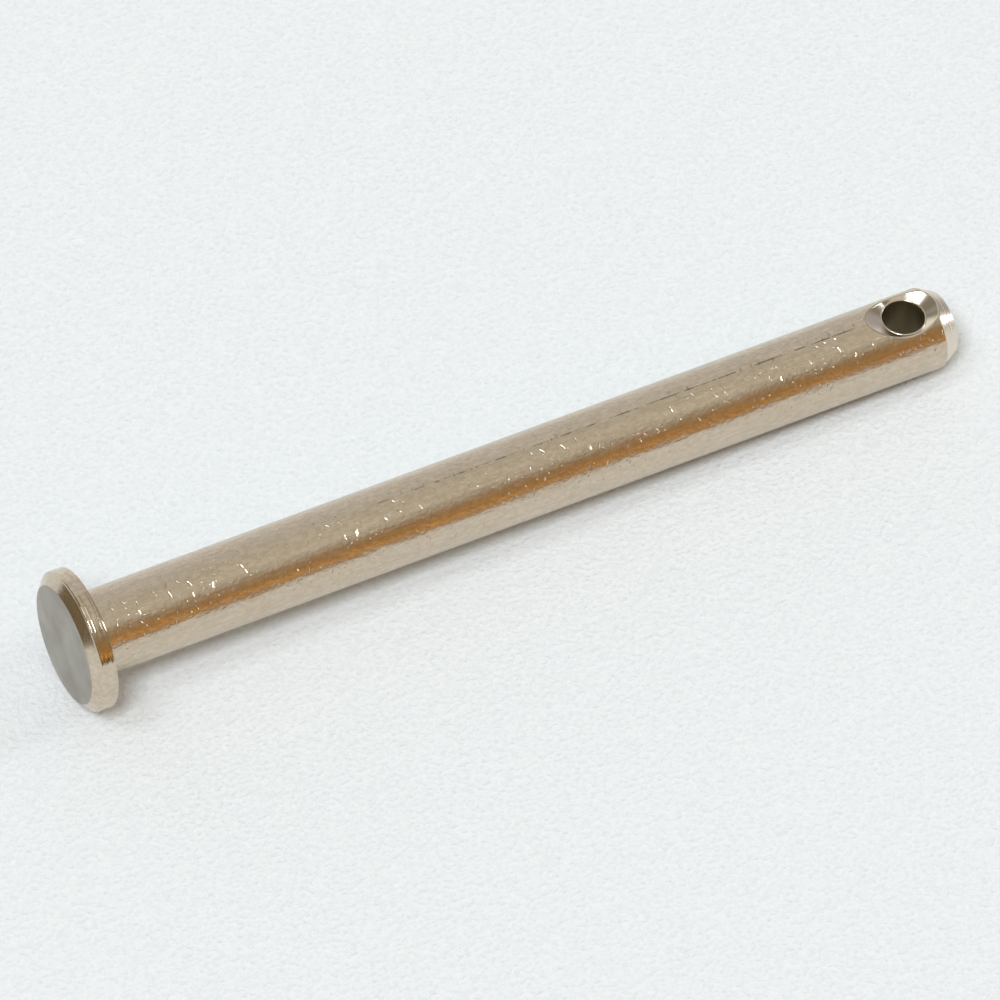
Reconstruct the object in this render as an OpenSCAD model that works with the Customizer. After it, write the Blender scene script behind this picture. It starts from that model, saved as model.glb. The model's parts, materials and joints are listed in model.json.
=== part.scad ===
// Clevis pin with a chamfered flat head, a straight shank and a cotter hole near its tip.
// Millimetres. The origin is the middle of the head's flat face, and the shank rises along +Z.

/* [Shank] */
// Diameter of the shank
shank_d = 4.75; // [4.4:0.05:5.2]
// Radius of the fillet between the shank and the underside of the head
fillet_r = 0.15; // [0.05:0.05:0.4]

/* [Head] */
// Diameter of the head over its rim
head_d = 8.1; // [7.6:0.1:12]
// Thickness of the head, from its flat face to its underside
head_h = 1.38; // [1.1:0.02:2.4]
// Height of the chamfer between the flat face and the rim
head_chamfer_h = 0.52; // [0.3:0.02:0.8]
// Width of that chamfer, measured across the face
head_chamfer_w = 0.63; // [0.3:0.01:0.9]

/* [Tip] */
// Length of the chamfer at the tip
tip_chamfer_h = 1.0; // [0.6:0.05:1.4]
// Width of that chamfer, measured across the shank
tip_chamfer_w = 0.55; // [0.3:0.05:0.9]

/* [Cotter hole] */
// Distance from the underside of the head to the middle of the hole
hole_pos = 50.55; // [20:0.05:120]
// Distance from the middle of the hole to the end of the tip
hole_to_tip = 2.65; // [2.4:0.05:6]
// Diameter of the hole
hole_d = 2.4; // [1.8:0.1:2.8]
// Depth of the countersink at each mouth, below the crown of the shank
csk_depth = 0.66; // [0.2:0.02:0.8]
// Included angle of the countersink
csk_angle = 120; // [90:2:120]

/* [Edges] */
// Radius that breaks each turned edge
edge_r = 0.1; // [0.05:0.01:0.15]

/* [Hidden] */
$fn = 96;

shank_r = shank_d / 2;
head_r = head_d / 2;
hole_z = head_h + hole_pos;
pin_len = hole_z + hole_to_tip;
// The cutters pass through the faces they start from by this much.
overcut = 1;

// Corners of the turned half section, from the middle of the face to the tip: [radius, height, rounding].
corners = [
    [0, 0, 0],
    [head_r - head_chamfer_w, 0, edge_r],
    [head_r, head_chamfer_h, edge_r],
    [head_r, head_h, edge_r],
    [shank_r, head_h, fillet_r],
    [shank_r, pin_len - tip_chamfer_h, edge_r],
    [shank_r - tip_chamfer_w, pin_len, edge_r],
    [0, pin_len, 0]
];
arc_steps = 5;

function unit(v) = v / norm(v);
function point(i) = [corners[i].x, corners[i].y];

// Points of the arc that touches both sides of a corner, at the radius that the corner states.
function arc(i) =
    let (
        r = corners[i].z,
        p = point(i),
        a = unit(point(i - 1) - p),
        b = unit(point(i + 1) - p),
        half = acos(a * b) / 2,
        centre = p + unit(a + b) * r / sin(half),
        from = p + a * r / tan(half) - centre,
        to = p + b * r / tan(half) - centre,
        sweep = (180 - 2 * half) * sign(from.x * to.y - from.y * to.x)
    )
    [for (k = [0:arc_steps])
        let (t = sweep * k / arc_steps)
        centre + [from.x * cos(t) - from.y * sin(t), from.x * sin(t) + from.y * cos(t)]];

module half_section() {
    polygon([for (i = [0:len(corners) - 1]) each corners[i].z > 0 ? arc(i) : [point(i)]]);
}

// Drill with a countersink at one mouth: the hole's axis is +X, from the middle of the pin outwards.
module half_drill() {
    csk_start = shank_r - csk_depth;
    csk_len = csk_depth + overcut;
    rotate([0, 90, 0]) {
        cylinder(d = hole_d, h = shank_r + overcut);
        translate([0, 0, csk_start])
            cylinder(r1 = hole_d / 2, r2 = hole_d / 2 + csk_len * tan(csk_angle / 2), h = csk_len);
    }
}

module cotter_hole() {
    translate([0, 0, hole_z]) {
        half_drill();
        mirror([1, 0, 0]) half_drill();
    }
}

module clevis_pin() {
    color([0.68, 0.64, 0.57])
        difference() {
            rotate_extrude() half_section();
            cotter_hole();
        }
}

clevis_pin();
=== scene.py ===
import json
import math

import bmesh
import bpy
from mathutils import Matrix, Vector, geometry


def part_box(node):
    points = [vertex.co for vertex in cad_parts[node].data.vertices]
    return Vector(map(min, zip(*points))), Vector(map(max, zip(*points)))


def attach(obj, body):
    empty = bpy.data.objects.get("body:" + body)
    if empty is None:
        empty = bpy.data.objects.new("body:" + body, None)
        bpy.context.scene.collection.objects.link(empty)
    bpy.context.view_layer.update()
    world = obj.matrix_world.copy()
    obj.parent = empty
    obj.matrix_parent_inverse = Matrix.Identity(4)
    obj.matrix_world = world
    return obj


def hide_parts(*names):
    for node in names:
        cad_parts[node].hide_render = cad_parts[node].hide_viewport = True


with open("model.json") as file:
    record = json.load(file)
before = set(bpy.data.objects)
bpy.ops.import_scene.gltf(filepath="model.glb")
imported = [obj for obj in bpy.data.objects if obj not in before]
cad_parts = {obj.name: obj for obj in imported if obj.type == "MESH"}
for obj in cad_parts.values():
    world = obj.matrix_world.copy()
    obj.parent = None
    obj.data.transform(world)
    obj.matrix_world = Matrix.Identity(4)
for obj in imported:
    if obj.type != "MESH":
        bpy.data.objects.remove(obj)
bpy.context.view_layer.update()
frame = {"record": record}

# ---------------------------------------------------------------------------------------------
# Turned blank. Cold-drawn steel bar, headed at one end and turned: a flat face with a chamfer to
# the head's rim, a straight shank and a chamfered tip. Tumbling before plating rounds each edge.
# ---------------------------------------------------------------------------------------------
MM = 0.001
mounts = {mount["name"]: mount for mount in frame["record"]["mounts"]}
pin_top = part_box("clevis_pin")[1]

pin_len = pin_top.z
head_r = pin_top.x
head_h = mounts["head_underside"]["pos_m"][2]
shank_r = mounts["shank"]["dims"]["r_mm"] * MM
head_chamfer_h = 0.52 * MM
head_chamfer_w = 0.63 * MM
tip_chamfer_h = 1.0 * MM
tip_chamfer_w = 0.55 * MM
edge_r = 0.1 * MM
fillet_r = 0.15 * MM
face_r = head_r - head_chamfer_w
tip_r = shank_r - tip_chamfer_w
tip_start = pin_len - tip_chamfer_h

# Between these heights, where the cross hole is drilled, the blank has closer rings.
drill_low = pin_len - 5.7 * MM
drill_high = pin_len - 0.28 * MM
drill_high_r = shank_r - tip_chamfer_w * (drill_high - tip_start) / tip_chamfer_h
wide = 0.6 * MM
close = 0.12 * MM
# A plain point keeps this far from a corner, so that the corner's rounding has room.
corner_clearance = 0.15 * MM
segments = 256
steps_in_rounding = 5
weld = 1e-4 * MM
tiny = 1e-9
# A point counts as on a rounding within these: a share of its radius, and radians past its ends.
radius_slack = 0.02
angle_slack = 0.01

# The half section from the middle of the face to the middle of the tip. A corner has its radius, its
# height, its rounding and the spacing of the points after it.
corners = [
    (0, 0, 0, wide),
    (face_r, 0, edge_r, wide),
    (head_r, head_chamfer_h, edge_r, wide),
    (head_r, head_h, edge_r, wide),
    (shank_r, head_h, fillet_r, wide),
    (shank_r, drill_low, 0, close),
    (shank_r, tip_start, edge_r, close),
    (drill_high_r, drill_high, 0, wide),
    (tip_r, pin_len, edge_r, wide),
    (0, pin_len, 0, wide),
]
tip_corner = 6


def half_section():
    """Points of the half section, each with its rounding: the corners, and plain ones between them."""
    points = []
    for start, end in zip(corners, corners[1:]):
        points.append(start[:3])
        run = math.dist(start[:2], end[:2])
        clear = min(start[3], corner_clearance) / run
        count = max(1, round(run / start[3]))
        for i in range(count + 1):
            t = clear + (1 - 2 * clear) * i / count
            points.append((start[0] + (end[0] - start[0]) * t, start[1] + (end[1] - start[1]) * t, 0))
    points.append(corners[-1][:3])
    return points


def add_node(tree, kind, inputs=None, **settings):
    """Adds a node with its properties; an input is given a value, or a link from a socket or a node."""
    node = tree.nodes.new(kind)
    for name, value in settings.items():
        setattr(node, name, value)
    for key, value in (inputs or {}).items():
        if isinstance(value, bpy.types.Node):
            value = value.outputs[0]
        if isinstance(value, bpy.types.NodeSocket):
            tree.links.new(value, node.inputs[key])
        else:
            node.inputs[key].default_value = value
    return node


def lathe_tree():
    """Rounds the corners of a half section and turns it about Z into a closed solid."""
    tree = bpy.data.node_groups.new("lathe", "GeometryNodeTree")
    face = tree.interface
    face.new_socket("Half section", in_out="INPUT", socket_type="NodeSocketGeometry")
    face.new_socket("Shank radius", in_out="INPUT", socket_type="NodeSocketFloat")
    face.new_socket("Segments", in_out="INPUT", socket_type="NodeSocketInt")
    face.new_socket("Steps in a rounding", in_out="INPUT", socket_type="NodeSocketInt")
    face.new_socket("Finish", in_out="INPUT", socket_type="NodeSocketMaterial")
    face.new_socket("Blank", in_out="OUTPUT", socket_type="NodeSocketGeometry")
    given = add_node(tree, "NodeGroupInput").outputs
    rounding = add_node(tree, "GeometryNodeInputRadius")
    rounded = add_node(
        tree, "GeometryNodeFilletCurve",
        {"Curve": given["Half section"], "Radius": rounding, "Count": given["Steps in a rounding"]},
        mode="POLY")
    inwards = add_node(tree, "ShaderNodeMath", {0: given["Shank radius"], 1: -1.0}, operation="MULTIPLY")
    shift = add_node(tree, "ShaderNodeCombineXYZ", {"X": inwards})
    # The sweep hangs a section's height downwards, so the section is turned over first.
    placed = add_node(
        tree, "GeometryNodeTransform",
        {"Geometry": rounded, "Translation": shift, "Rotation": (math.pi, 0, 0)})
    path = add_node(
        tree, "GeometryNodeCurvePrimitiveCircle",
        {"Resolution": given["Segments"], "Radius": given["Shank radius"]}, mode="RADIUS")
    swept = add_node(tree, "GeometryNodeCurveToMesh", {"Curve": path, "Profile Curve": placed})
    closed = add_node(tree, "GeometryNodeMergeByDistance", {"Geometry": swept, "Distance": weld})
    smooth = add_node(tree, "GeometryNodeSetShadeSmooth", {0: closed})
    real = add_node(tree, "GeometryNodeRealizeInstances", {0: smooth})
    finished = add_node(tree, "GeometryNodeSetMaterial", {"Geometry": real, "Material": given["Finish"]})
    add_node(tree, "NodeGroupOutput", {"Blank": finished})
    return tree


def turn_blank(material):
    """The turned blank as a plain mesh, from a curve of its half section."""
    points = half_section()
    curve = bpy.data.curves.new("half_section", "CURVE")
    curve.dimensions = "3D"
    line = curve.splines.new("POLY")
    line.points.add(len(points) - 1)
    for point, (radius, height, rounding) in zip(line.points, points):
        point.co = (radius, height, 0, 1)
        point.radius = rounding
    section = bpy.data.objects.new("half_section", curve)
    bpy.context.scene.collection.objects.link(section)
    tree = lathe_tree()
    sockets = {item.name: item.identifier for item in tree.interface.items_tree}
    lathe = section.modifiers.new("lathe", "NODES")
    lathe.node_group = tree
    lathe[sockets["Shank radius"]] = shank_r
    lathe[sockets["Segments"]] = segments
    lathe[sockets["Steps in a rounding"]] = steps_in_rounding
    lathe[sockets["Finish"]] = material
    evaluated = section.evaluated_get(bpy.context.evaluated_depsgraph_get())
    mesh = bpy.data.meshes.new_from_object(evaluated)
    bpy.data.objects.remove(section)
    return mesh


def rounding_arc(i):
    """Centre and two ends of the arc that rounds corner i."""
    before, corner, after = (Vector(corners[k][:2]) for k in (i - 1, i, i + 1))
    radius = corners[i][2]
    back = (before - corner).normalized()
    ahead = (after - corner).normalized()
    half = back.angle(ahead) / 2
    centre = corner + (back + ahead).normalized() * radius / math.sin(half)
    reach = radius / math.tan(half)
    return centre, corner + back * reach, corner + ahead * reach


def section_normal(radius, height):
    """Outward direction of the half section at a point on it, as (radial, axial)."""
    point = Vector((radius, height))
    nearest, normal = math.inf, None
    for i, (start, end) in enumerate(zip(corners, corners[1:])):
        a, b = Vector(start[:2]), Vector(end[:2])
        along = (b - a).normalized()
        outward = Vector((along.y, -along.x))
        miss = abs((point - a).dot(outward)) + max(0.0, -(point - a).dot(along), (point - b).dot(along))
        if miss < nearest - tiny:
            nearest, normal = miss, outward
        if end[2]:
            centre, arc_start, arc_end = rounding_arc(i + 1)
            spoke = (point - centre).normalized()
            middle = ((arc_start - centre) + (arc_end - centre)).normalized()
            half_sweep = middle.angle(arc_start - centre)
            on_arc = abs((point - centre).length - end[2]) < radius_slack * end[2]
            if on_arc and middle.angle(spoke) < half_sweep + angle_slack:
                return spoke if middle.dot(outward) > 0 else -spoke
    return normal


def turned_radius(height):
    """Radius of the shank or of the tip's chamfer at a height, with the rounding between them."""
    centre, arc_start, arc_end = rounding_arc(tip_corner)
    if height <= arc_start.y:
        return shank_r
    if height >= arc_end.y:
        return shank_r - tip_chamfer_w * (height - tip_start) / tip_chamfer_h
    return centre.x + math.sqrt(edge_r**2 - (height - centre.y) ** 2)


# ---------------------------------------------------------------------------------------------
# Cotter hole. Drilled across the shank near the tip, with a wide countersink at each mouth that
# runs out into the tip's chamfer; every edge of it is broken like the turned ones.
# ---------------------------------------------------------------------------------------------
hole = mounts["cotter_hole"]
hole_z = hole["pos_m"][2]
hole_r = hole["dims"]["r_mm"] * MM
sink_start = hole["dims"]["length_mm"] * MM / 2
sink_angle = math.radians(120)
sink_spread = math.tan(sink_angle / 2)
edge_break = 0.07 * MM
bead_r = 0.055 * MM
bead_rise = 0.015 * MM
spokes = 240
steps_in_edge = 6
steps_on_sink = 6
steps_in_bead = 10
steps_in_bore = 8
foot_space = 0.01 * MM
margin = 0.03 * MM
farthest_mouth = 2.6 * MM
halvings = 50
stitch = 1e-3 * MM
# A triangle smaller than this, in square millimetres, is left out as a sliver.
sliver = 1e-5
# The blank is opened inside this angle of the hole's axis, and closed again round the mouth.
opened = math.radians(50)


def around_hole(angle, reach):
    """Position across and along the pin, at a distance from the hole's axis."""
    return reach * math.cos(angle), hole_z + reach * math.sin(angle)


def turned_point(angle, reach):
    """Point of the turned surface over a position around the hole, and its normal."""
    y, z = around_hole(angle, reach)
    radius = turned_radius(z)
    x = math.sqrt(radius**2 - y**2)
    radial, axial = section_normal(radius, z)
    return Vector((x, y, z)), Vector((radial * x / radius, radial * y / radius, axial))


def sink_point(angle, reach):
    """Point of the countersink's cone at a distance from the hole's axis, and its normal."""
    y, z = around_hole(angle, reach)
    x = sink_start + (reach - hole_r) / sink_spread
    lean = Vector((sink_spread, -math.cos(angle), -math.sin(angle)))
    return Vector((x, y, z)), lean.normalized()


def mouth_reach(angle):
    """How far from the hole's axis the countersink meets the turned surface."""
    near, far = hole_r, farthest_mouth
    for _ in range(halvings):
        middle = (near + far) / 2
        inside = turned_point(angle, middle)[0].x > sink_point(angle, middle)[0].x
        near, far = (middle, far) if inside else (near, middle)
    return near


def broken_edge(first, corner, last, first_normal, last_normal):
    """Points and normals of the rounding from one surface over a corner to the next one."""
    rows = []
    for k in range(steps_in_edge + 1):
        t = k / steps_in_edge
        point = first * (1 - t) ** 2 + corner * 2 * t * (1 - t) + last * t**2
        rows.append((point, first_normal.lerp(last_normal, t).normalized()))
    return rows


def lip_bead():
    """Raised bead round the bore's lip, from the countersink to the bore: (reach, x) and its normal."""
    cone_way = Vector((sink_spread, 1)).normalized()
    cone_lean = Vector((-1, sink_spread)).normalized()
    start = Vector((hole_r, sink_start))
    centre = start + Vector((bead_r, bead_rise))
    sunk = (centre - start).dot(cone_lean)
    meet = cone_way * math.sqrt(bead_r**2 - sunk**2) - cone_lean * sunk
    first = math.atan2(meet.x, meet.y)
    rows = []
    for k in range(steps_in_bead + 1):
        turn = first + (-math.pi / 2 - first) * k / steps_in_bead
        normal = Vector((math.sin(turn), math.cos(turn)))
        rows.append((centre + normal * bead_r, normal))
    return rows


def hole_spoke(angle):
    """Points, normals and cut marks from the turned surface, over the countersink, into the bore."""
    across, along = math.cos(angle), math.sin(angle)
    meet = mouth_reach(angle)
    outer, outer_normal = turned_point(angle, meet + edge_break)
    corner = sink_point(angle, meet)[0]
    inner, sink_normal = sink_point(angle, meet - edge_break)
    edge = broken_edge(outer, corner, inner, outer_normal, sink_normal)
    rows = [(point, normal, k / steps_in_edge) for k, (point, normal) in enumerate(edge)]
    bead = lip_bead()
    foot = bead[0][0].x + foot_space
    for k in range(1, steps_on_sink + 1):
        reach = meet - edge_break + (foot - meet + edge_break) * k / steps_on_sink
        rows.append((*sink_point(angle, reach), 1.0))
    for place, lean in bead:
        y, z = around_hole(angle, place.x)
        rows.append((Vector((place.y, y, z)), Vector((lean.y, lean.x * across, lean.x * along)), 1.0))
    wall, y, z = rows[-1][0]
    for k in range(1, steps_in_bore + 1):
        point = Vector((wall * (1 - k / steps_in_bore), y, z))
        rows.append((point, Vector((0, -across, -along)), 2.0))
    return rows


def drill(blank):
    """Opens the hole through the blank's mesh, and gives each vertex its exact normal."""
    mesh = bmesh.new()
    mesh.from_mesh(blank)
    cut = mesh.verts.layers.float.new("cut")
    layer = mesh.verts.layers.float_vector.new("exact_normal")

    def in_window(vertex):
        across = abs(math.atan2(vertex.co.y, abs(vertex.co.x)))
        return across < opened and drill_low - tiny < vertex.co.z < drill_high + tiny

    rows_of_spoke = [hole_spoke(math.tau * (i + 0.5) / spokes) for i in range(spokes)]
    outline = [rows[0][0] for rows in rows_of_spoke]
    reach_at = [math.hypot(p.y, p.z - hole_z) for p in outline]

    def clear_of_mouth(y, z, space):
        turn = math.atan2(z - hole_z, y) % math.tau / math.tau * spokes - 0.5
        i = math.floor(turn)
        reach = reach_at[i % spokes] + (reach_at[(i + 1) % spokes] - reach_at[i % spokes]) * (turn - i)
        return math.hypot(y, z - hole_z) > reach + space

    near_side = [v for v in mesh.verts if v.co.x > 0 and in_window(v)]
    kept = [v for v in near_side if clear_of_mouth(v.co.y, v.co.z, margin)]
    number = {v.index: i for i, v in enumerate(kept)}
    kept_points = [v.co.copy() for v in kept]
    edges = []
    for edge in mesh.edges:
        a, b = (v.index for v in edge.verts)
        if a in number and b in number:
            edges.append((number[a], number[b]))
    first = len(kept)
    edges += [(first + i, first + (i + 1) % spokes) for i in range(spokes)]
    solid = kept_points + outline
    flat = [Vector((math.atan2(p.y, p.x) * shank_r, p.z)) / MM for p in solid]
    triangles = geometry.delaunay_2d_cdt(flat, edges, [], 0, 1e-6)
    window = [f for f in mesh.faces if all(in_window(v) for v in f.verts)]
    bmesh.ops.delete(mesh, geom=window, context="FACES")

    normal_of, cut_of = {}, {}
    for side in (1, -1):
        made = [mesh.verts.new((p.x * side, p.y, p.z)) for p in solid]
        source = triangles[3]
        for face in triangles[2]:
            ends = [source[k][0] for k in face]
            centre = sum((solid[k] for k in ends), Vector()) / 3
            whole = geometry.area_tri(*(flat[k].to_3d() for k in ends)) > sliver
            if whole and clear_of_mouth(centre.y, centre.z, 0.0):
                mesh.faces.new([made[k] for k in ends])
        rings = [made[first:]]
        depth = len(rows_of_spoke[0])
        for row in range(1, depth):
            places = [rows[row][0] for rows in rows_of_spoke]
            rings.append([mesh.verts.new((p.x * side, p.y, p.z)) for p in places])
        for outer, inner in zip(rings, rings[1:]):
            for i in range(spokes):
                j = (i + 1) % spokes
                mesh.faces.new((outer[i], outer[j], inner[j], inner[i]))
        for row, ring in enumerate(rings):
            for i, vertex in enumerate(ring):
                n = rows_of_spoke[i][row][1]
                normal_of[vertex] = Vector((n.x * side, n.y, n.z))
                cut_of[vertex] = rows_of_spoke[i][row][2]
    for vertex in mesh.verts:
        if vertex in normal_of:
            vertex[layer] = normal_of[vertex]
            vertex[cut] = cut_of[vertex]
        else:
            radius = math.hypot(vertex.co.x, vertex.co.y)
            radial, axial = section_normal(radius, vertex.co.z)
            spin = (vertex.co.x / radius, vertex.co.y / radius) if radius > tiny else (0, 0)
            vertex[layer] = Vector((radial * spin[0], radial * spin[1], axial))
    bmesh.ops.remove_doubles(mesh, verts=mesh.verts, dist=stitch)
    bmesh.ops.recalc_face_normals(mesh, faces=mesh.faces)
    for face in mesh.faces:
        face.smooth = True
    normals = [v[layer].normalized() for v in mesh.verts]
    mesh.to_mesh(blank)
    mesh.free()
    blank.attributes.remove(blank.attributes["exact_normal"])
    blank.normals_split_custom_set_from_vertices(normals)
    return blank


# ---------------------------------------------------------------------------------------------
# Plating. A thin coat of nickel over the drawn and turned steel, dulled a little in the barrel:
# draw lines run along the shank, tool rings go round the head and the tip, and nicks are all over.
# ---------------------------------------------------------------------------------------------
def paint(hex_code):
    """Linear colour from an sRGB hex value."""
    channels = [int(hex_code[i:i + 2], 16) / 255 for i in (0, 2, 4)]
    linear = [c / 12.92 if c <= 0.04045 else ((c + 0.055) / 1.055) ** 2.4 for c in channels]
    return (*linear, 1.0)


def plated_finish():
    """Nickel plate: a warm grey satin mirror, whose reflections break up on lines, rings and nicks."""
    material = bpy.data.materials.new("nickel_plated_drawn_steel")
    material.use_nodes = True
    tree = material.node_tree
    tree.nodes.clear()

    # The place on the pin in millimetres, and the same unrolled: way round the shank and height.
    metres = add_node(tree, "ShaderNodeTexCoord").outputs["Object"]
    place = add_node(tree, "ShaderNodeVectorMath", {0: metres, "Scale": 1 / MM}, operation="SCALE")
    parts = add_node(tree, "ShaderNodeSeparateXYZ", {0: place}).outputs
    height = parts["Z"]
    turn = add_node(tree, "ShaderNodeMath", {0: parts["Y"], 1: parts["X"]}, operation="ARCTAN2")
    round_way = add_node(tree, "ShaderNodeMath", {0: turn, 1: shank_r / MM}, operation="MULTIPLY")
    unrolled = add_node(tree, "ShaderNodeCombineXYZ", {"X": round_way, "Y": height})
    cut = add_node(tree, "ShaderNodeAttribute", attribute_name="cut").outputs["Fac"]

    # Where each finish is: it comes in between two heights, or two values of the mark left by the cut.
    face_end, chamfer_end, head_end, tip_begin = 0.004, 0.45, head_h / MM, tip_start / MM
    zones = {}
    for name, value, start, end in (
            ("face", height, face_end + 0.026, face_end),
            ("past the chamfer", height, chamfer_end, chamfer_end + 0.1),
            ("head", height, head_end + 0.15, head_end),
            ("tip", height, tip_begin, tip_begin + 0.05),
            ("cut", cut, 0.0, 1.0),
            ("bore", cut, 1.0, 1.6)):
        zones[name] = add_node(
            tree, "ShaderNodeMapRange", {"Value": value, "From Min": start, "From Max": end})
    zones["rim"] = add_node(
        tree, "ShaderNodeMath", {0: zones["past the chamfer"], 1: zones["head"]}, operation="MULTIPLY")
    zones["tip"] = add_node(
        tree, "ShaderNodeMath", {0: zones["tip"], 1: zones["cut"]}, operation="SUBTRACT", use_clamp=True)
    tooled = zones["head"]
    for name in ("tip", "cut"):
        tooled = add_node(
            tree, "ShaderNodeMath", {0: tooled, 1: zones[name]}, operation="ADD", use_clamp=True)
    zones["drawn"] = add_node(tree, "ShaderNodeMath", {0: 1.0, 1: tooled}, operation="SUBTRACT")

    # Draw lines: 0.1 mm wide and some millimetres long, along the pin (real ones are finer, and only
    # their groups show); broad bands under them; a fine grain; slow waves of 1 mm, which unsettle
    # every reflection; mottling of the plating by 0.3 mm; and the worn clouds on the head's face.
    patterns = {}
    for name, per_mm, detail, roughness in (
            ("lines", (10, 10, 0.15), 3, 0.6),
            ("bands", (2.2, 2.2, 0.12), 2, 0.5),
            ("grain", (5, 5, 4), 2, 0.5),
            ("waves", (1.5, 1.5, 0.5), 2, 0.5),
            ("mottle", (4, 4, 2.5), 3, 0.65),
            ("clouds", (0.45, 0.45, 0.45), 2, 0.5)):
        scaled = add_node(tree, "ShaderNodeVectorMath", {0: place, 1: per_mm}, operation="MULTIPLY")
        patterns[name] = add_node(
            tree, "ShaderNodeTexNoise",
            {"Vector": scaled, "Scale": 1, "Detail": detail, "Roughness": roughness})

    # Tool rings on the head and the tip, a fifth of a millimetre apart.
    patterns["rings"] = add_node(
        tree, "ShaderNodeTexNoise", {"W": height, "Scale": 5, "Detail": 2, "Roughness": 0.6},
        noise_dimensions="1D")

    # Nicks from the barrel: short dents, most of them across the pin, in loose swarms of 3 by 6 mm.
    # Each of three layers has one dent in a share of its cells, and its own shift, so that no two
    # layers agree. Sizes are in mm, and the lean of a dent is in radians.
    nicks = 0.0
    for spacing, half_long, half_wide, share in (
            (0.66, 0.21, 0.048, 0.55),
            (1.15, 0.3, 0.055, 0.6),
            (0.38, 0.06, 0.042, 0.5)):
        moved = add_node(
            tree, "ShaderNodeVectorMath", {0: unrolled, 1: (3.7 * spacing, 1.9, 0)}, operation="ADD")
        cell = add_node(
            tree, "ShaderNodeTexVoronoi", {"Vector": moved, "Scale": 1 / spacing},
            voronoi_dimensions="2D").outputs
        offset = add_node(
            tree, "ShaderNodeVectorMath", {0: moved, 1: cell["Position"]}, operation="SUBTRACT")
        chance = add_node(tree, "ShaderNodeSeparateXYZ", {0: cell["Color"]}).outputs
        lean = add_node(
            tree, "ShaderNodeMapRange", {"Value": chance["X"], "To Min": -0.75, "To Max": 0.55})
        leaned = add_node(
            tree, "ShaderNodeVectorRotate", {"Vector": offset, "Angle": lean}, rotation_type="Z_AXIS")
        shaped = add_node(
            tree, "ShaderNodeVectorMath", {0: leaned, 1: (1 / half_long, 1 / half_wide, 0)},
            operation="MULTIPLY")
        away = add_node(tree, "ShaderNodeVectorMath", {0: shaped}, operation="LENGTH").outputs["Value"]
        dent = add_node(
            tree, "ShaderNodeMapRange", {"Value": away, "From Min": 1, "From Max": 0},
            interpolation_type="SMOOTHSTEP")
        chosen = add_node(
            tree, "ShaderNodeMapRange",
            {"Value": chance["Y"], "From Min": 1 - share, "From Max": 1.35 - share})
        kept = add_node(tree, "ShaderNodeMath", {0: dent, 1: chosen}, operation="MULTIPLY")
        nicks = add_node(tree, "ShaderNodeMath", {0: nicks, 1: kept}, operation="MAXIMUM")
    spread = add_node(
        tree, "ShaderNodeVectorMath", {0: unrolled, 1: (0.35, 0.16, 0)}, operation="MULTIPLY")
    swarms = add_node(
        tree, "ShaderNodeMapRange",
        {"Value": add_node(tree, "ShaderNodeTexNoise", {"Vector": spread, "Scale": 1, "Detail": 1}),
         "From Min": 0.38, "From Max": 0.52, "To Min": 0.1, "To Max": 1.0})
    patterns["nicks"] = add_node(tree, "ShaderNodeMath", {0: nicks, 1: swarms}, operation="MULTIPLY")

    # The drag line: a broken score in line with the hole, from the shank's middle to the hole, whose
    # breaks close up on the way.
    beside = add_node(tree, "ShaderNodeMath", {0: round_way}, operation="ABSOLUTE")
    breaks = add_node(
        tree, "ShaderNodeTexNoise", {"W": height, "Scale": 0.8, "Detail": 3, "Roughness": 0.7},
        noise_dimensions="1D")
    closing = add_node(
        tree, "ShaderNodeMapRange",
        {"Value": height, "From Min": 18, "From Max": 42, "To Max": 0.12})
    whole = add_node(tree, "ShaderNodeMath", {0: breaks, 1: closing}, operation="ADD")
    drag = zones["drawn"]
    for value, start, end in (
            (beside, 0.055, 0.015), (whole, 0.50, 0.68), (height, 17, 20), (height, 49, 48.2)):
        fade = add_node(
            tree, "ShaderNodeMapRange", {"Value": value, "From Min": start, "From Max": end})
        drag = add_node(tree, "ShaderNodeMath", {0: drag, 1: fade}, operation="MULTIPLY")
    patterns["drag"] = drag

    # Heights in millimetres, added into one relief.
    relief = 0.0
    for pattern, zone, rise in (
            ("lines", "drawn", 0.003),
            ("grain", "drawn", 0.016),
            ("waves", "drawn", 0.03),
            ("rings", "rim", 0.045),
            ("rings", "tip", 0.022),
            ("rings", "head", 0.004),
            ("nicks", "drawn", -0.026),
            ("drag", "drawn", -0.004)):
        here = add_node(
            tree, "ShaderNodeMath", {0: patterns[pattern], 1: zones[zone]}, operation="MULTIPLY")
        relief = add_node(
            tree, "ShaderNodeMath", {0: here, 1: rise, 2: relief}, operation="MULTIPLY_ADD")
    bump = add_node(tree, "ShaderNodeBump", {"Height": relief, "Strength": 1.0, "Distance": MM})

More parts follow.
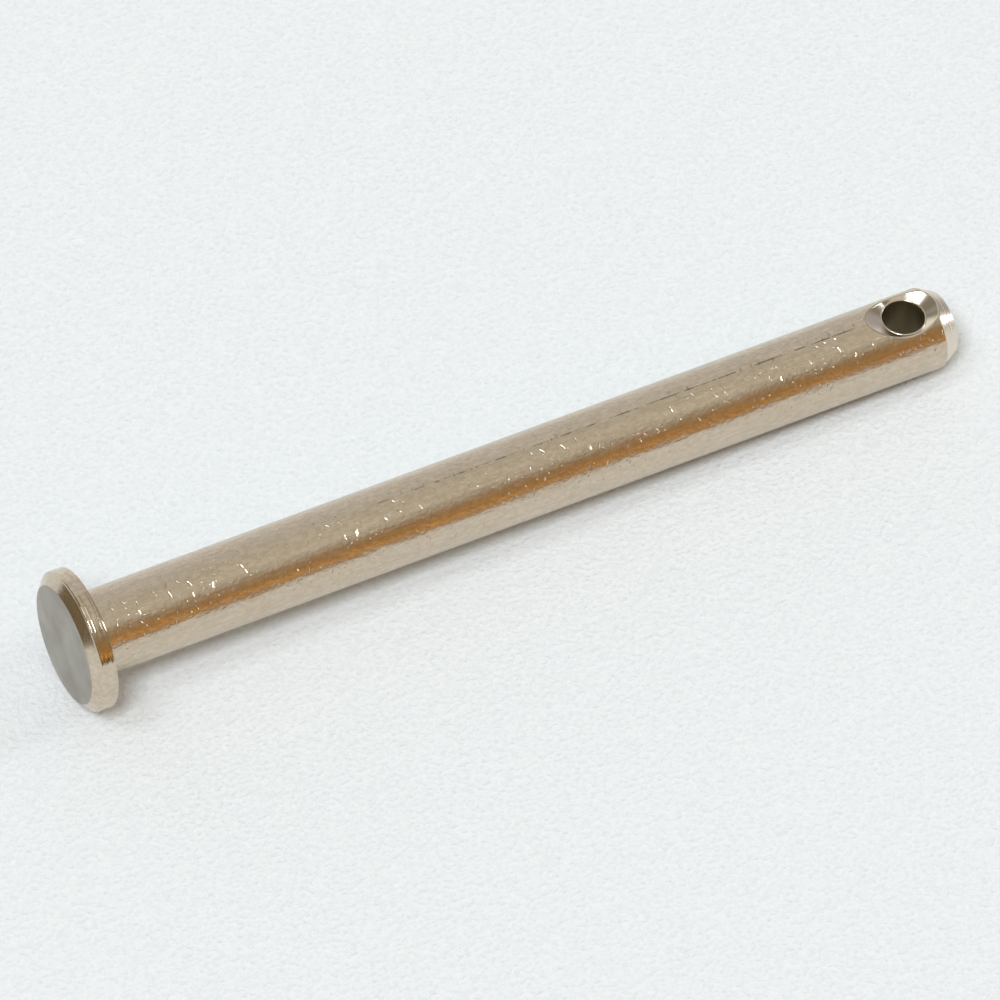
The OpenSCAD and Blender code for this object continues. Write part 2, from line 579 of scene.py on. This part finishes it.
    # Colour: bright nickel in bands, mottled a little, darker along the deeper draw lines and in the
    # drag line, dull on the head's face where the steel shows through, and duller inside the bore.
    shares = {}
    for name, pattern, start, end in (
            ("lines", "lines", 0.45, 0.2),
            ("mottling", "mottle", 0.65, 0.35),
            ("clouds", "clouds", 0.35, 0.65)):
        shares[name] = add_node(
            tree, "ShaderNodeMapRange",
            {"Value": patterns[pattern], "From Min": start, "From Max": end})
    for name, zone in (("lines", "drawn"), ("clouds", "face")):
        shares[name] = add_node(
            tree, "ShaderNodeMath", {0: shares[name], 1: zones[zone]}, operation="MULTIPLY")
    colour = paint("CEBFAB")
    for share, shade in (
            (patterns["bands"], "E0D1BE"),
            (shares["lines"], "AE9F8B"),
            (shares["mottling"], "C6B7A3"),
            (patterns["drag"], "6E6356"),
            (zones["face"], "B3AEA6"),
            (shares["clouds"], "9E988F"),
            (zones["tip"], "E2D6C7"),
            (zones["cut"], "DDD2C2"),
            (zones["bore"], "A39981")):
        mix = add_node(tree, "ShaderNodeMix", {0: share, 6: colour, 7: paint(shade)}, data_type="RGBA")
        colour = mix.outputs[2]

    # Roughness: satin on the shank, brighter where the tool cut, dull on the face and in the bore.
    gloss = 0.22
    for share, roughness in (
            (patterns["bands"], 0.27),
            (zones["head"], 0.17),
            (zones["rim"], 0.10),
            (zones["tip"], 0.26),
            (zones["face"], 0.45),
            (zones["cut"], 0.16),
            (zones["bore"], 0.35)):
        gloss = add_node(tree, "ShaderNodeMix", {0: share, 2: gloss, 3: roughness}, data_type="FLOAT")
    metal = add_node(
        tree, "ShaderNodeBsdfPrincipled",
        {"Base Color": colour, "Metallic": 1.0, "Roughness": gloss, "Normal": bump})
    add_node(tree, "ShaderNodeOutputMaterial", {"Surface": metal})
    return material


finish = plated_finish()
pin = bpy.data.objects.new("pin", drill(turn_blank(finish)))
bpy.context.scene.collection.objects.link(pin)
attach(pin, "root")
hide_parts("clevis_pin")

# ---------------------------------------------------------------------------------------------
# Camera. A long lens, half a metre and more away from the pin, which lies with its tip to the
# upper right and shows its head's face.
# ---------------------------------------------------------------------------------------------
view_azimuth = math.radians(124.775)
view_elevation = math.radians(-18.947)
view_roll = math.radians(69.79)
view_distance = 582.1 * MM
aim_right = -0.534 * MM
aim_up = -1.034 * MM

back = Vector((
    math.sin(view_azimuth) * math.cos(view_elevation),
    -math.cos(view_azimuth) * math.cos(view_elevation),
    math.sin(view_elevation),
))
level_right = Vector((0, 0, 1)).cross(back).normalized()
level_up = back.cross(level_right)
roll = Matrix.Rotation(view_roll, 3, back)
right = roll @ level_right
up = roll @ level_up
middle = Vector((0, 0, pin_len / 2))
eye = middle + right * aim_right + up * aim_up + back * view_distance
camera = bpy.data.objects.new("camera", bpy.data.cameras.new("camera"))
camera.data.lens = 380
camera.data.sensor_width = 36
facing = Matrix((right, up, back)).transposed().to_4x4()
camera.matrix_world = Matrix.Translation(eye) @ facing
bpy.context.scene.collection.objects.link(camera)
bpy.context.scene.camera = camera

# ---------------------------------------------------------------------------------------------
# Board. A large white board with a fine grain, on which the pin lies along its shank and its
# head's rim. Its back is see-through, so that the pin also shows from there.
# ---------------------------------------------------------------------------------------------
view_above_board = math.radians(49.2)
board_half = 4.0
board_normal = up * math.cos(view_above_board) + back * math.sin(view_above_board)
toward = (back - board_normal * back.dot(board_normal)).normalized()
outwards = Vector((-board_normal.x, -board_normal.y, 0)).normalized()
rests = (
    outwards * head_r + Vector((0, 0, head_h - edge_r)),
    outwards * shank_r + Vector((0, 0, tip_start)),
)
board_level = min(rest.dot(board_normal) for rest in rests)

board_corners = []
for a, b in ((-1, -1), (1, -1), (1, 1), (-1, 1)):
    board_corners.append(board_normal * board_level + (right * a - toward * b) * board_half)
board_mesh = bpy.data.meshes.new("board")
board_mesh.from_pydata(board_corners, [], [(0, 1, 2, 3)])
board = bpy.data.objects.new("board", board_mesh)
bpy.context.scene.collection.objects.link(board)

# Matt white card with a pressed grain of 0.3 mm: it looks evenly pale, with a faint pebble.
card = bpy.data.materials.new("matt_white_board")
card.use_nodes = True
tree = card.node_tree
tree.nodes.clear()
place = add_node(tree, "ShaderNodeTexCoord").outputs["Object"]
pebbles = add_node(
    tree, "ShaderNodeTexNoise", {"Vector": place, "Scale": 3.2 / MM, "Detail": 1, "Roughness": 0.6})
grain = add_node(tree, "ShaderNodeBump", {"Height": pebbles, "Strength": 1.0, "Distance": 0.12 * MM})
speckle = add_node(
    tree, "ShaderNodeMix", {0: pebbles, 6: paint("E0E5E8"), 7: paint("F3F6F8")}, data_type="RGBA")
front = add_node(
    tree, "ShaderNodeBsdfPrincipled",
    {"Base Color": speckle.outputs[2], "Roughness": 0.9, "Specular IOR Level": 0.2, "Normal": grain})
unseen = add_node(tree, "ShaderNodeBsdfTransparent")
behind = add_node(tree, "ShaderNodeNewGeometry").outputs["Backfacing"]
one_sided = add_node(tree, "ShaderNodeMixShader", {0: behind, 1: front, 2: unseen})
add_node(tree, "ShaderNodeOutputMaterial", {"Surface": one_sided})
board_mesh.materials.append(card)

# ---------------------------------------------------------------------------------------------
# Light. Three soft lamps, and a dim room whose walls, ceiling and warm wood show in the plating
# as soft-edged panels. Its last two panels are the pale backdrop behind the board and beyond it.
# ---------------------------------------------------------------------------------------------
def room_direction(azimuth, elevation):
    """Direction from the pin in degrees: azimuth from the camera's side towards its right."""
    a, e = math.radians(azimuth), math.radians(elevation)
    return (toward * math.cos(a) + right * math.sin(a)) * math.cos(e) + board_normal * math.sin(e)


world = bpy.data.worlds.new("studio")
world.use_nodes = True
tree = world.node_tree
tree.nodes.clear()
direction = add_node(tree, "ShaderNodeTexCoord").outputs["Generated"]
colour = paint("8A8476")
for azimuth, elevation, half_wide, half_high, softness, level, shade in (
        (143, 6, 24, 13, 0.4, 1.0, "B4B0B0"),
        (82, 43, 9, 8, 0.45, 1.0, "4E4638"),
        (183, 22, 25, 46, 0.35, 1.0, "D8D8D6"),
        (214, 12, 22, 17, 0.3, 1.1, "F4F2EC"),
        (94, 68, 42, 19, 0.45, 1.0, "D8D5C8"),
        (50, 8, 32, 31, 0.62, 1.0, "B58A50"),
        (43, 12, 4.5, 3.5, 0.6, 1.5, "FFBE58"),
        (50, 1, 40, 4.6, 0.6, 1.0, "644822"),
        (-84, 9, 36, 13, 0.5, 1.0, "7E7159"),
        (-132.5, 46.5, 8, 8, 0.25, 1.0, "E9EDEF"),
        (24.3, -0.5, 5.5, 2, 0.25, 1.0, "F3F7F7")):
    # A panel is the sphere of this reach about its direction, squashed into an ellipse.
    way = room_direction(azimuth, elevation)
    rise = room_direction(azimuth, elevation + 90)
    axes = Matrix((way, rise.cross(way), rise)).transposed()
    half_sizes = (max(half_wide, half_high), half_wide, half_high)
    reach = [2 * math.sin(math.radians(angle) / 2) for angle in half_sizes]
    local = add_node(
        tree, "ShaderNodeMapping",
        {"Vector": direction, "Location": way, "Rotation": axes.to_euler(), "Scale": reach},
        vector_type="TEXTURE")
    away = add_node(tree, "ShaderNodeVectorMath", {0: local}, operation="LENGTH").outputs["Value"]
    share = add_node(
        tree, "ShaderNodeMapRange",
        {"Value": away, "From Min": 1 + softness, "From Max": 1 - softness},
        interpolation_type="SMOOTHSTEP")
    lit = [channel * level for channel in paint(shade)]
    mix = add_node(tree, "ShaderNodeMix", {0: share, 6: colour, 7: lit}, data_type="RGBA")
    colour = mix.outputs[2]
room = add_node(tree, "ShaderNodeBackground", {"Color": colour, "Strength": 1.0})
add_node(tree, "ShaderNodeOutputWorld", {"Surface": room})
bpy.context.scene.world = world

lamp_distance = 8.0
for name, azimuth, elevation, size_x, size_y, watts in (
        ("window", 107, 20, 1.2, 4.6, 128),
        ("softbox", -62, 64, 2.4, 2.4, 106),
        ("fill", -15, 57, 2.24, 2.24, 366)):
    lamp = bpy.data.lights.new(name, "AREA")
    lamp.shape = "RECTANGLE"
    lamp.size = size_x
    lamp.size_y = size_y
    lamp.energy = watts
    lamp.color = paint("F4F9FF")[:3]
    way = room_direction(azimuth, elevation)
    holder = bpy.data.objects.new(name, lamp)
    facing = way.to_track_quat("Z", "Y").to_matrix().to_4x4()
    holder.matrix_world = Matrix.Translation(middle + way * lamp_distance) @ facing
    bpy.context.scene.collection.objects.link(holder)

bpy.context.scene.view_settings.view_transform = "Standard"
